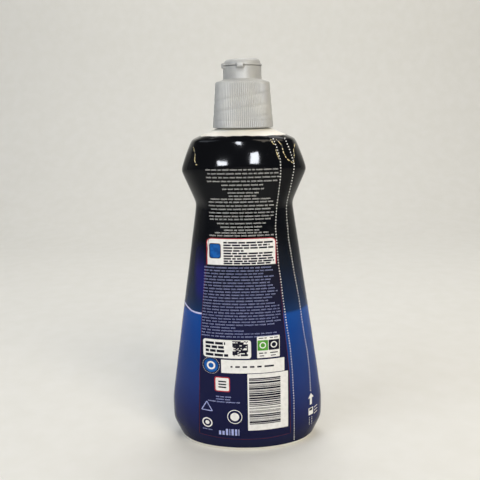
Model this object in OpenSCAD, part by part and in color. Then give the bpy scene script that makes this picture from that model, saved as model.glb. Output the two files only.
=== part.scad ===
// Rinse aid bottle with a printed shrink sleeve, a ribbed screw cap and a flip-top lid.
// The printed side faces -Y, the neck points up +Z, and the foot stands on z = 0.

/* [Body] */
// Width of the straight band above the foot, where the body is widest
body_w = 91.8; // [87:0.2:96]
// Depth of the straight band
body_d = 50; // [47:0.5:54]
// Height of the band's lower edge, above the foot chamfer
belly_z = 11; // [9:0.5:15]
// Height of the band's upper edge, where the taper starts
flank_z = 25; // [22:0.5:34]
// Width of the foot that the bottle stands on
foot_w = 80.4; // [74:0.5:85]
// Depth of the foot that the bottle stands on
foot_d = 45; // [41:0.5:46]
// Width at the waist
waist_w = 55; // [50:0.2:62]
// Depth at the waist
waist_d = 37; // [33:0.5:42]
// Height of the waist
waist_z = 145.7; // [138:0.5:149]
// Width at the ridge above the waist
ridge_w = 71.6; // [66:0.2:76]
// Depth at the ridge
ridge_d = 43; // [38:0.5:47]
// Height of the ridge at the sides
ridge_z = 164.6; // [160:0.2:168]
// How much higher the ridge lies across the front and back than at the sides
ridge_arch = 3; // [0:0.5:4]
// Width at the shoulder edge
shoulder_w = 58.2; // [54:0.2:64]
// Depth at the shoulder edge
shoulder_d = 38; // [34:0.5:42]
// Height of the shoulder edge
shoulder_z = 181.9; // [179:0.2:182.4]
// Wall of the blow-moulded body
wall = 0.9; // [0.7:0.1:1.3]
// Radius of the arched front and back panels
panel_r = 68; // [56:1:90]
// How far the panel corners lie inside the widest point of each section
corner_in = 8; // [5:0.5:10]
// The same at the shoulder edge, where the side facets run out
corner_in_top = 2.6; // [1.5:0.1:5]
// The same at the foot
corner_in_foot = 6; // [4:0.5:10]
// How broadly the side faces round into each other at the widest point
side_round = 8; // [4:0.5:12]
// Width of the flat band that the foot stands on
foot_band = 4; // [3:0.5:6]
// Rise of the base inside the foot band
push_up = 4; // [2:0.5:6]

/* [Neck] */
// Radius of the shoulder where the neck rises from it
root_r = 15; // [14.7:0.1:15.6]
// Height of the neck root
root_z = 187.8; // [187:0.1:188.2]
// Outer radius of the neck tube
neck_r = 12.5; // [12.3:0.1:12.8]
// Bore radius of the neck
neck_bore_r = 10.8; // [10.2:0.1:11.2]
// Length of the neck above its root
neck_l = 22; // [18:0.5:24]
// How far the bead under the thread stands out
bead_out = 1.1; // [0.6:0.1:1.2]
// Height of the bead above the neck root
bead_up = 2.4; // [2:0.1:3]
// Thickness of the bead at its rim
bead_t = 0.8; // [0.5:0.1:1]
// Chamfer round the neck's mouth
mouth_edge = 0.5; // [0.3:0.1:0.8]

/* [Sleeve] */
// Thickness of the shrink film
film = 0.1; // [0.06:0.02:0.3]
// Air between the film and the bottle
film_gap = 0.05; // [0.03:0.01:0.1]
// Height of the lower edge of the film
film_low = 2; // [1:0.5:5]
// Height of the upper edge of the film
film_top = 184; // [183:0.2:185]

/* [Cap] */
// Radius of the skirt at its lower edge, over the ribs
skirt_low_r = 17.1; // [16.9:0.1:18]
// Radius of the skirt at its upper edge, over the ribs
skirt_top_r = 15.1; // [14.9:0.1:16]
// Height of the cap's deck, from the neck's mouth to the top of the ribs
deck_t = 2.5; // [2:0.1:3.5]
// Clearance of the skirt over the neck root
skirt_up = 0.3; // [0.2:0.1:1]
// Number of ribs round the skirt
ribs = 90; // [60:2:100]
// Depth of a rib
rib_depth = 0.3; // [0.2:0.05:0.4]
// Radial clearance between the cap's bore and the thread on the neck
thread_gap = 0.3; // [0.2:0.05:0.5]
// How far the thread stands out from the neck
thread_out = 1.4; // [1.2:0.1:1.5]
// Length of the cap's plain mouth, below the thread
mouth_l = 3.8; // [3:0.2:6]
// Height of the smooth shoulder between the skirt and the spout
cap_shoulder_l = 2; // [1:0.2:3]
// Radius of the spout
spout_r = 10.65; // [10:0.05:11.5]
// Length of the spout above the cap's shoulder
spout_l = 7; // [5:0.5:9]
// Wall of the spout and of the decks
cap_wall = 1.2; // [1:0.1:1.6]
// Clearance of the seal ring in the neck's bore
seal_gap = 0.15; // [0.1:0.05:0.3]
// Length of the seal ring
seal_l = 3; // [2:0.5:5]
// Bore radius of the nozzle
orifice_r = 1.8; // [1.4:0.1:2.4]
// Height of the nozzle above the spout's rim
nozzle_up = 1.2; // [0.6:0.1:1.6]
// Depth of the dish round the nozzle
dish_depth = 1.4; // [1:0.1:2]

/* [Lid] */
// Radius of the flange round the lid
flange_r = 10.95; // [10.7:0.05:12]
// Thickness of the flange
flange_t = 0.9; // [0.7:0.1:1.4]
// Radius of the lid's wall above the flange
lid_r = 10.1; // [9.6:0.05:10.5]
// Height of the lid over its flange
lid_h = 3.8; // [3.6:0.1:5]
// Radius of the lid's rounded upper edge
lid_edge_r = 2.8; // [1.5:0.1:3]
// How much the lid's top is crowned
lid_crown = 0.15; // [0:0.05:0.4]
// How much narrower the hollow in the lid is at its ceiling
lid_draft = 0.8; // [0.4:0.1:1.2]
// How much the top of the lid slopes down towards the hinge, in degrees
lid_slope = 2.5; // [0:0.5:3]
// Wall of the lid
lid_wall = 1.1; // [0.9:0.1:1.3]
// Gap between the lid and the spout's rim
lid_gap = 0.2; // [0.15:0.05:0.4]
// Direction of the hinge, in degrees round from the front towards the left
hinge_turn = 38; // [0:1:90]
// How far the hinge line lies outside the spout
hinge_out = 0.85; // [0.6:0.05:1.2]
// Angle from the hinge's middle to the inner edge of each strap
strap_from = 20; // [14:1:26]
// Angle from the hinge's middle to the outer edge of each strap
strap_to = 45; // [34:1:50]
// Thickness of the straps
strap_t = 0.8; // [0.5:0.05:1]
// Height of the strap roots on the spout
strap_h = 1.7; // [1.4:0.1:3]
// Width of the thumb lip
lip_w = 11; // [8:0.5:14]
// How far the thumb lip stands out from the flange
lip_out = 1.1; // [0.6:0.1:1.6]
// Radial clearance of the sealing plug in the nozzle
plug_gap = 0.15; // [0.1:0.05:0.3]
// How far the sealing plug reaches below the nozzle's rim
plug_l = 1.6; // [1:0.1:2.2]

/* [Hidden] */
$fn = 96;

bottle_white = "#f1efe6";
sleeve_navy = "#141a44";
cap_silver = "#b9b8b4";

// Bends of the outline from the foot up: height, half width, half depth and softness.
bends = [
    [belly_z, body_w / 2, body_d / 2, 2],
    [flank_z, body_w / 2, body_d / 2, 3],
    [waist_z, waist_w / 2, waist_d / 2, 1.7],
    [ridge_z, ridge_w / 2, ridge_d / 2, 1.3],
    [shoulder_z, shoulder_w / 2, shoulder_d / 2, 0.7]
];
outline = concat([[0, foot_w / 2, foot_d / 2, 0]], bends, [[root_z, root_r, root_r, 0]]);
corner_power = 20;
// Half of the angle that a rounded panel corner takes up
corner_half = 6;
// How far a cut runs past the face that it opens
over = 1;
// How far a strap root reaches into the wall that carries it
sink = 0.4;
side_steps = 3;
corner_steps = 4;
panel_steps = 5;

neck_top = root_z + neck_l;
thread_r = neck_r + thread_out;
cap_bore_r = thread_r + thread_gap;
skirt_low = root_z + skirt_up;
deck_low = neck_top;
skirt_top = deck_low + deck_t;
skirt_l = skirt_top - skirt_low;
spout_low = skirt_top + cap_shoulder_l;
spout_top = spout_low + spout_l;
nozzle_r = orifice_r + cap_wall;
nozzle_top = spout_top + nozzle_up;
nozzle_deck = spout_top - dish_depth;
lid_low = spout_top + lid_gap;
strap_r = spout_r + hinge_out + strap_t / 2;
hinge_dir = -90 - hinge_turn;

// A unit ramp that bends softly: 0 well below zero and t well above it.
function ramp(t, soft) = (t + sqrt(t * t + soft * soft)) / 2;

function slope(k, i) = (outline[i + 1][k] - outline[i][k]) / (outline[i + 1][0] - outline[i][0]);

// Half width (k = 1) or half depth (k = 2) of the body at height z
function half(k, z, i = 1) =
    i >= len(outline) - 1
        ? outline[0][k] + slope(k, 0) * z
        : half(k, z, i + 1) + (slope(k, i) - slope(k, i - 1)) * ramp(z - outline[i][0], outline[i][3]);

function inset(z) =
    z < belly_z ? corner_in_foot + (corner_in - corner_in_foot) * z / belly_z
    : z < ridge_z ? corner_in
    : z > shoulder_z ? corner_in_top
    : corner_in + (corner_in_top - corner_in) * (z - ridge_z) / (shoulder_z - ridge_z);

// How much of the round neck root the section at height z has taken on
function roundness(z) = z < shoulder_z ? 0 : min(1, (z - shoulder_z) / (root_z - shoulder_z));

function corner_x(z) = half(1, z) - inset(z);
function corner_y(z) = half(2, z) - panel_r + sqrt(panel_r ^ 2 - corner_x(z) ^ 2);

// Distance from the axis to the arched front or back panel, in direction t
function to_panel(t, b) =
    let (c = panel_r - b, s = abs(sin(t)))
    sqrt((s * c) ^ 2 + b * (2 * panel_r - b)) - s * c;

// Distance from the axis to the side faces, which slant by m and round into each other, in direction t
function to_side(t, a, m) =
    let (c = abs(cos(t)), s = sin(t), far = a + m * side_round, k = far ^ 2 - (m * side_round) ^ 2)
    k / (c * far + sqrt((c * m * side_round) ^ 2 + (m * s) ^ 2 * k));

function faceted_r(t, z) =
    let (
        m = inset(z) / (norm([corner_y(z), side_round]) - side_round),
        p = to_panel(t, half(2, z)),
        s = to_side(t, half(1, z), m)
    )
    (p ^ -corner_power + s ^ -corner_power) ^ (-1 / corner_power);

function oval_r(t, z) = let (a = half(1, z), b = half(2, z)) a * b / norm([b * cos(t), a * sin(t)]);

function section_r(t, z) =
    let (m = roundness(z))
    (1 - m) * faceted_r(t, min(z, shoulder_z)) * oval_scale(t, z) + m * oval_r(t, z);

// How much the section has shrunk above the shoulder edge
function oval_scale(t, z) = z < shoulder_z ? 1 : oval_r(t, z) / oval_r(t, shoulder_z);

// Directions from the side (0) to the front (90), closest together round the panel corner
function quarter(z) =
    let (c = atan2(corner_y(z), corner_x(z)), low = c - corner_half, high = c + corner_half)
    [
        for (i = [0 : side_steps - 1]) low * i / side_steps,
        for (i = [0 : corner_steps - 1]) low + (high - low) * i / corner_steps,
        for (i = [0 : panel_steps - 1]) high + (90 - high) * i / panel_steps
    ];

function directions(z) =
    let (q = quarter(min(z, shoulder_z)), n = len(q))
    [
        for (i = [0 : n - 1]) q[i],
        90,
        for (i = [n - 1 : -1 : 1]) 180 - q[i],
        for (i = [0 : n - 1]) 180 + q[i],
        270,
        for (i = [n - 1 : -1 : 1]) 360 - q[i]
    ];

// The ridge lies higher across the front and back than at the sides.
function arch(t, z) =
    ridge_arch * sin(t) ^ 2 * max(0, z < ridge_z
        ? 1 - (ridge_z - z) / (ridge_z - waist_z)
        : 1 - (z - ridge_z) / (shoulder_z - ridge_z));

// One ring of the body's surface at height z, moved out by grow and lifted to height to
function ring(z, grow = 0, to = undef) = [
    for (t = directions(z))
        let (r = section_r(t, z) + grow)
        [r * cos(t), r * sin(t), (is_undef(to) ? z : to) + arch(t, z)]
];

function shrunk(points, share, z) = [for (p = points) [p[0] * share, p[1] * share, z]];

// Heights at which the outer surface has a ring, between two limits
function levels(low, high, steps) = [
    for (b = bends, s = steps)
        let (z = b[0] + s * b[3])
        if (z > low + 0.3 && z < high - 0.3) z
];

fine = [-3, -1.1, -0.35, 0.35, 1.1, 3];
coarse = [-2, 0, 2];

// Triangles between ring a and ring b of n points each, turned over for an inside face
function strip(a, b, n, inside = false) = [
    for (i = [0 : n - 1], first = [true, false])
        let (k = (i + 1) % n, f = first ? [a * n + i, b * n + i, a * n + k] : [a * n + k, b * n + i, b * n + k])
        inside ? [f[2], f[1], f[0]] : f
];

// Triangles of a skin over m rings, from the ring called start
function skin(n, m, start = 0, inside = false) = [
    for (j = [start : start + m - 2], f = strip(j, j + 1, n, inside)) f
];

function flat_list(rings) = [for (r = rings, p = r) p];

// A closed solid from rings with a point at each end
module loft(rings, start, end) {
    n = len(rings[0]);
    m = len(rings);
    points = concat(flat_list(rings), [start, end]);
    caps = [
        for (i = [0 : n - 1], e = [0, 1])
            let (k = (i + 1) % n)
            e == 0 ? [m * n, i, k] : [m * n + 1, (m - 1) * n + k, (m - 1) * n + i]
    ];
    polyhedron(points, concat(skin(n, m), caps));
}

module body_shell() {
    squeeze = 1 - 2 * wall / root_z;
    foot = ring(0);
    band = 1 - foot_band / (foot_w / 2);
    inner_foot = ring(0, -wall, wall);
    // A ring between the foot band and the middle of the base gives the base its dome.
    dome = band * 0.45;
    dome_z = push_up * 0.85;
    // The body's top opening ends inside the wall of the neck.
    opening = (neck_bore_r + neck_r) / 2 / root_r;
    outside = concat(
        [shrunk(foot, dome, dome_z), shrunk(foot, band, 0), foot, ring(film_low)],
        [for (z = levels(film_low, film_top, fine)) ring(z)],
        [ring(film_top), shrunk(ring(root_z), 1, root_z)]
    );
    inside = concat(
        [shrunk(ring(root_z), opening, root_z)],
        [shrunk(ring(root_z), opening, root_z - wall)],
        [shrunk(ring(root_z), 1 - wall / root_r, root_z - wall)],
        [for (z = reversed(levels(0, film_top, coarse))) ring(z, -wall, wall + z * squeeze)],
        [inner_foot, shrunk(inner_foot, band, wall), shrunk(inner_foot, dome, dome_z + wall)]
    );
    loft(concat(outside, inside), [0, 0, push_up], [0, 0, push_up + wall]);
}

function reversed(list) = [for (i = [len(list) - 1 : -1 : 0]) list[i]];

module neck() {
    bead_r = neck_r + bead_out;
    bead_z = root_z + bead_up;
    rotate_extrude()
        polygon([
            [neck_bore_r, root_z - wall],
            [neck_r, root_z - wall],
            [neck_r, bead_z],
            [bead_r, bead_z + bead_t / 2],
            [bead_r, bead_z + bead_t],
            [neck_r, bead_z + bead_t * 1.6],
            [neck_r, neck_top - mouth_edge],
            [neck_r - mouth_edge, neck_top],
            [neck_bore_r, neck_top]
        ]);
}

module bottle() {
    color(bottle_white)
        union() {
            body_shell();
            neck();
        }
}

module shrink_sleeve() {
    heights = concat([film_low], levels(film_low, film_top, fine), [film_top]);
    outer = [for (z = heights) ring(z, film_gap + film)];
    inner = [for (z = heights) ring(z, film_gap)];
    n = len(outer[0]);
    m = len(outer);
    color(sleeve_navy)
        polyhedron(
            flat_list(concat(outer, inner)),
            concat(
                skin(n, m),
                skin(n, m, m, inside = true),
                strip(m - 1, 2 * m - 1, n),
                strip(m, 0, n)
            )
        );
}

// One rib and the valley beside it, in share of the rib spacing and of the rib depth
rib_profile = [[0, 0], [0.3, 0], [0.48, 1], [0.82, 1]];

module rib_outline(r) {
    polygon([
        for (i = [0 : ribs - 1], p = rib_profile)
            let (t = 360 * (i + p[0]) / ribs, d = r - rib_depth * (1 - p[1]))
            [d * cos(t), d * sin(t)]
    ]);
}

module skirt() {
    translate([0, 0, skirt_low])
        linear_extrude(height = skirt_l, scale = skirt_top_r / skirt_low_r)
            rib_outline(skirt_low_r);
}

module cap_top() {
    rim_r = skirt_top_r - 1.5 * rib_depth;
    edge = cap_shoulder_l * 0.6;
    rotate_extrude()
        polygon(concat(
            [[0, deck_low + cap_wall], [rim_r, deck_low + cap_wall], [rim_r, skirt_top]],
            [for (a = [10 : 20 : 90]) [rim_r - edge * (1 - cos(a)), skirt_top + edge * sin(a)]],
            [[spout_r, spout_low], [spout_r, spout_top], [0, spout_top]]
        ));
}

// What is hollow inside the cap: the threaded bore, the way up to the spout, and the dish round the nozzle
module cap_hollow() {
    mouth_r = skirt_low_r - cap_wall - rib_depth;
    seal_r = neck_bore_r - seal_gap;
    duct_r = seal_r - cap_wall;
    rotate_extrude()
        polygon([
            [0, skirt_low - over],
            [mouth_r, skirt_low - over],
            [mouth_r, skirt_low + mouth_l - (mouth_r - cap_bore_r)],
            [cap_bore_r, skirt_low + mouth_l],
            [cap_bore_r, deck_low],
            [seal_r, deck_low],
            [seal_r, deck_low - seal_l],
            [duct_r, deck_low - seal_l],
            [duct_r, nozzle_deck - cap_wall],
            [0, nozzle_deck - cap_wall]
        ]);
    rotate_extrude()
        polygon([
            [nozzle_r, nozzle_deck],
            [spout_r - cap_wall, nozzle_deck],
            [spout_r - cap_wall, spout_top + over],
            [nozzle_r, spout_top + over]
        ]);
}

module ring_piece(r_in, r_out, low, high, from, to) {
    translate([0, 0, low])
        rotate([0, 0, from])
            rotate_extrude(angle = to - from)
                translate([r_in, 0])
                    square([r_out - r_in, high - low]);
}

// The thick ends of the two hinge straps, on the spout or on the lid
module strap_roots(r_in, low, high) {
    for (side = [-1, 1])
        ring_piece(r_in, strap_r, low, high,
            hinge_dir + (side < 0 ? -strap_to : strap_from),
            hinge_dir + (side < 0 ? -strap_from : strap_to));
}

module screw_cap() {
    color(cap_silver)
        difference() {
            union() {
                skirt();
                cap_top();
                strap_roots(spout_r - sink, spout_top - strap_h, spout_top - lid_gap);
                translate([0, 0, nozzle_deck])
                    cylinder(r = nozzle_r, h = nozzle_top - nozzle_deck);
            }
            cap_hollow();
            translate([0, 0, nozzle_deck - cap_wall - over])
                cylinder(r = orifice_r, h = nozzle_top - nozzle_deck + cap_wall + 2 * over);
        }
}

module lid_dome() {
    intersection() {
        translate([0, 0, lid_low])
            rotate([0, 0, hinge_dir])
                rotate([0, lid_slope, 0])
                    rotate_extrude()
                        polygon(concat(
                            [[0, -over], [lid_r, -over]],
                            [for (a = [0 : 15 : 90])
                                [lid_r - lid_edge_r * (1 - cos(a)), lid_h - lid_edge_r * (1 - sin(a))]],
                            [[0, lid_h + lid_crown]]
                        ));
        translate([-flange_r, -flange_r, lid_low])
            cube([2 * flange_r, 2 * flange_r, 2 * lid_h]);
    }
}

module thumb_lip() {
    intersection() {
        translate([0, 0, lid_low])
            cylinder(r = flange_r + lip_out, h = flange_t);
        rotate([0, 0, hinge_dir + 180])
            translate([lid_r - lid_wall, -lip_w / 2, lid_low - over])
                cube([flange_r, lip_w, flange_t + 2 * over]);
    }
}

module flip_lid() {
    cavity_r = lid_r - lid_wall;
    ceiling = lid_low + lid_h - lid_wall;
    color(cap_silver)
        union() {
            difference() {
                union() {
                    lid_dome();
                    translate([0, 0, lid_low])
                        cylinder(r = flange_r, h = flange_t);
                    thumb_lip();
                    strap_roots(lid_r - sink, lid_low, lid_low + strap_h);
                }
                translate([0, 0, lid_low - over])
                    cylinder(r1 = cavity_r, r2 = cavity_r - lid_draft, h = ceiling - lid_low + over);
            }
            translate([0, 0, nozzle_top - plug_l])
                cylinder(r1 = orifice_r - 2 * plug_gap, r2 = orifice_r - plug_gap,
                    h = ceiling + sink - nozzle_top + plug_l);
        }
}

bottle();
shrink_sleeve();
screw_cap();
flip_lid();
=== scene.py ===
import math
import random

import bpy
import numpy as np
from mathutils import Matrix, Vector


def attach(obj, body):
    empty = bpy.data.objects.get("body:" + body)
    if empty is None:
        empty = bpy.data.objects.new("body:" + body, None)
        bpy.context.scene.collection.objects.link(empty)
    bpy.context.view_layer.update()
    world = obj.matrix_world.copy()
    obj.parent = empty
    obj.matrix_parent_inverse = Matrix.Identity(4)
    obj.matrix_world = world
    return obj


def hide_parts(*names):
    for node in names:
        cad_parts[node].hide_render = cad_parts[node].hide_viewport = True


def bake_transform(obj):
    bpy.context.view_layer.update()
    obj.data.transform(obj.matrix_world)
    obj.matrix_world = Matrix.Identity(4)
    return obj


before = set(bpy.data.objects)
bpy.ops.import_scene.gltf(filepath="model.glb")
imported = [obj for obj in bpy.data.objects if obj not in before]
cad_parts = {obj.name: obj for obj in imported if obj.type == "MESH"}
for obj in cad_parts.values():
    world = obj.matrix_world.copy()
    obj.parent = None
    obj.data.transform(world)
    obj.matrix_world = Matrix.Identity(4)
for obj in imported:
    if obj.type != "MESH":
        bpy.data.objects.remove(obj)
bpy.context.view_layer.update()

mm = 0.001


# Small helpers

def linear(hexColour):
    channels = [int(hexColour[i:i + 2], 16) / 255 for i in (1, 3, 5)]
    return [c / 12.92 if c <= 0.04045 else ((c + 0.055) / 1.055) ** 2.4 for c in channels] + [1.0]


def patternScale(size):
    # the scale that draws a pattern of this many millimetres
    return 1 / (size * mm)


def addNode(tree, kind, settings=None, links=None):
    node = tree.nodes.new(kind)
    for key, value in (settings or {}).items():
        if isinstance(key, int) or key in node.inputs:
            node.inputs[key].default_value = value
        else:
            setattr(node, key, value)
    for key, source in (links or {}).items():
        tree.links.new(source, node.inputs[key])
    return node


def newMaterial(name):
    material = bpy.data.materials.new(name)
    material.use_nodes = True
    tree = material.node_tree
    return material, tree, tree.nodes["Principled BSDF"]


def setRamp(node, stops):
    ramp = node.color_ramp
    while len(ramp.elements) > 1:
        ramp.elements.remove(ramp.elements[-1])
    ramp.elements[0].position, ramp.elements[0].color = stops[0]
    for position, colour in stops[1:]:
        ramp.elements.new(position).color = colour


def makeMesh(name, points, faces, material, sharp):
    # points in millimetres; sharp is the angle above which an edge isn't smoothed
    mesh = bpy.data.meshes.new(name)
    mesh.from_pydata((np.asarray(points) * mm).tolist(), [], faces)
    mesh.validate()
    mesh.shade_smooth()
    mesh.set_sharp_from_angle(angle=math.radians(sharp))
    piece = bpy.data.objects.new(name, mesh)
    bpy.context.scene.collection.objects.link(piece)
    mesh.materials.append(material)
    return piece


def ringFaces(count, rings, closed):
    # quads between rings of points; closed joins the last ring to the first
    faces = []
    for j in range(rings if closed else rings - 1):
        a, b = j * count, (j + 1) % rings * count
        faces += [(a + i, a + (i + 1) % count, b + (i + 1) % count, b + i) for i in range(count)]
    return faces


def turnedPiece(name, rings, material, ends, sharp):
    # rings of equal length run along the section; ends are two points on the axis, or none for a closed loop
    count = len(rings[0])
    points = np.concatenate(rings)
    faces = ringFaces(count, len(rings), ends is None)
    if ends is not None:
        last = (len(rings) - 1) * count
        start, stop = len(points), len(points) + 1
        points = np.concatenate([points, np.array(ends)])
        faces += [(start, (i + 1) % count, i) for i in range(count)]
        faces += [(last + i, last + (i + 1) % count, stop) for i in range(count)]
    return makeMesh(name, points, faces, material, sharp)


def smooth(t):
    t = np.clip(t, 0, 1)
    return t * t * (3 - 2 * t)


# Shape of the body, as in the part: millimetres until a mesh is made

body = {
    # height, half width, half depth and softness of each bend
    "bends": [(0, 40.2, 22.5, 0), (11, 45.9, 25, 2), (25, 45.9, 25, 3), (145.7, 27.5, 18.5, 1.7),
              (164.6, 35.8, 21.5, 1.3), (181.9, 29.1, 19, 0.7), (187.8, 15, 15, 0)],
    "cornerIn": [(0, 6), (11, 8), (164.6, 8), (181.9, 2.6)],
    "panelR": 68, "sideRound": 8, "cornerPower": 20, "arch": 3, "wall": 0.9, "footBand": 4, "pushUp": 4,
    # the height and the number of samples that even directions are worked out with
    "evenAt": 100.0, "evenSamples": 4001,
    # how near a bend the levels come closer, and the least step worth a level
    "nearBend": 4, "leastStep": 0.01,
}
waistZ, ridgeZ, shoulderZ, rootZ = (body["bends"][i][0] for i in (3, 4, 5, 6))


def half(k, z):
    bends = body["bends"]
    slopes = [(q[k] - p[k]) / (q[0] - p[0]) for p, q in zip(bends, bends[1:])]
    value = bends[0][k] + slopes[0] * z
    for i in range(1, len(slopes)):
        t = z - bends[i][0]
        value = value + (slopes[i] - slopes[i - 1]) * (t + np.sqrt(t * t + bends[i][3] ** 2)) / 2
    return value


def facetedR(t, z):
    # a shallow arc for each panel and a rounded wedge for each side, blended at the corners
    a, b = half(1, z), half(2, z)
    inset = np.interp(z, *zip(*body["cornerIn"]))
    panelR, q, power = body["panelR"], body["sideRound"], body["cornerPower"]
    cornerY = b - panelR + np.sqrt(panelR ** 2 - (a - inset) ** 2)
    m = inset / (np.hypot(cornerY, q) - q)
    s, c = np.abs(np.sin(t)), np.abs(np.cos(t))
    panel = np.sqrt((s * (panelR - b)) ** 2 + b * (2 * panelR - b)) - s * (panelR - b)
    far = a + m * q
    k = far ** 2 - (m * q) ** 2
    side = k / (c * far + np.sqrt((c * m * q) ** 2 + (m * s) ** 2 * k))
    return (panel ** -power + side ** -power) ** (-1 / power)


def ovalR(t, z):
    a, b = half(1, z), half(2, z)
    return a * b / np.hypot(b * np.cos(t), a * np.sin(t))


def bodyR(t, z):
    t, z = np.broadcast_arrays(np.asarray(t, float), np.asarray(z, float))
    faceted = facetedR(t, np.minimum(z, shoulderZ))
    share = np.clip((z - shoulderZ) / (rootZ - shoulderZ), 0, 1)
    oval = ovalR(t, z)
    return np.where(z < shoulderZ, faceted, (1 - share) * faceted * oval / ovalR(t, shoulderZ) + share * oval)


def archLift(t, z):
    rise = np.minimum(1 - (ridgeZ - z) / (ridgeZ - waistZ), 1 - (z - ridgeZ) / (shoulderZ - ridgeZ))
    return body["arch"] * np.sin(t) ** 2 * np.maximum(0, rise)


def bodyPoints(t, z, out=0.0):
    r = bodyR(t, z) + out
    return np.stack([r * np.cos(t), r * np.sin(t), z + archLift(t, z) + 0 * r], -1)


def evenDirections(count):
    # directions that cut one section of the body into equal lengths
    t = np.linspace(-math.pi, math.pi, body["evenSamples"])
    p = bodyPoints(t, body["evenAt"])
    walked = np.concatenate([[0], np.cumsum(np.hypot(*(p[1:, :2] - p[:-1, :2]).T))])
    return np.interp(np.linspace(0, walked[-1], count + 1)[:-1], walked, t)


def levelsBetween(low, high, step, fineStep):
    # heights with closer steps round each bend
    z, out = low, [low]
    while z < high - fineStep:
        near = min(abs(z - b[0]) for b in body["bends"])
        z += fineStep if near < body["nearBend"] else step
        out.append(min(z, high))
    if high - out[-1] > body["leastStep"]:
        out.append(high)
    return out


# White bottle with its neck, blow-moulded in one piece

bottle = {
    "around": 200, "sharp": 38, "low": 0.5, "high": 184, "step": 2.4, "fineStep": 0.7,
    "innerLow": 1.0, "innerStep": 6.0, "innerFineStep": 2.0,
    # shares of the foot's band where the push-up has its rings, outside and inside
    "dome": (0.15, 0.35, 0.55, 0.72, 0.86, 0.95), "innerDome": (0.86, 0.6, 0.3), "footEdge": 0.985,
    "rootLevels": (184.8, 185.6, 186.4, 187.1, 187.6),
    # radius, and height above the root, where the shoulder turns up into the neck
    "rootRound": ((14.6, 0), (13.6, 0.08), (12.9, 0.25), (12.5, 0.7)),
    "neckR": 12.5, "neckTop": 209.8, "neckFrom": 1.6, "neckTo": 0.8, "neckStep": 0.3,
    # share of beadOut, and height above beadUp
    "beadUp": 2.4, "beadOut": 1.1, "bead": ((0, -0.1), (0.6, 0.1), (1, 0.4), (1, 0.8), (0.6, 1.1), (0, 1.3)),
    # radius, and depth below the neck's top, over the lip of the mouth
    "lip": ((12.5, 0.6), (12.35, 0.2), (12.0, 0), (11.2, 0), (10.9, 0.12), (10.8, 0.4)),
    "boreR": 10.8, "boreLevels": (205, 200, 195, 191),
    # radius, and depth below the root's inner face
    "underRoot": ((12.4, 0.1), (13.8, 0.3)),
    "threadOut": 1.4, "threadLead": 12.0, "threadStarts": 2, "threadHalf": 1.25, "threadFlank": 0.7,
    "threadUp": 4.6, "threadDown": 1.6, "threadFade": 1.2,
    "white": "#f3f1e8", "seamGrey": "#e9e6da", "mottle": 11.1, "peel": 1.43,
}


def threadHeight(t, z):
    # how far the two-start right-hand thread stands out at direction t and height z
    lead, fade = bottle["threadLead"], bottle["threadFade"]
    pitch = lead / bottle["threadStarts"]
    low, high = rootZ + bottle["threadUp"], bottle["neckTop"] - bottle["threadDown"]
    u = (z - low - lead * t / (2 * math.pi) + pitch / 2) % pitch - pitch / 2
    crest = smooth((bottle["threadHalf"] - np.abs(u)) / bottle["threadFlank"])
    return bottle["threadOut"] * crest * smooth((z - low) / fade) * smooth((high - z) / fade)


def hdpeMaterial():
    # blow-moulded polyethylene: waxy, nearly opaque white that scatters a little light under its skin
    material, tree, shader = newMaterial("hdpeBlowMoulded")
    shader.inputs["Roughness"].default_value = 0.38
    shader.inputs["IOR"].default_value = 1.53
    shader.inputs["Subsurface Weight"].default_value = 0.12
    shader.inputs["Subsurface Radius"].default_value = (0.0025, 0.002, 0.0014)
    place = addNode(tree, "ShaderNodeTexCoord").outputs["Object"]
    # cloudy resin, and the orange peel of the mould's face
    mottle = addNode(tree, "ShaderNodeTexNoise", {"Scale": patternScale(bottle["mottle"]), "Detail": 3.0},
                     {"Vector": place})
    ramp = addNode(tree, "ShaderNodeValToRGB", None, {"Fac": mottle.outputs["Fac"]})
    setRamp(ramp, [(0.3, linear(bottle["seamGrey"])), (0.65, linear(bottle["white"]))])
    tree.links.new(ramp.outputs["Color"], shader.inputs["Base Color"])
    peel = addNode(tree, "ShaderNodeTexNoise", {"Scale": patternScale(bottle["peel"]), "Detail": 2.0},
                   {"Vector": place})
    bump = addNode(tree, "ShaderNodeBump", {"Strength": 0.12, "Distance": 0.0002},
                   {"Height": peel.outputs["Fac"]})
    tree.links.new(bump.outputs["Normal"], shader.inputs["Normal"])
    return material


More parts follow.
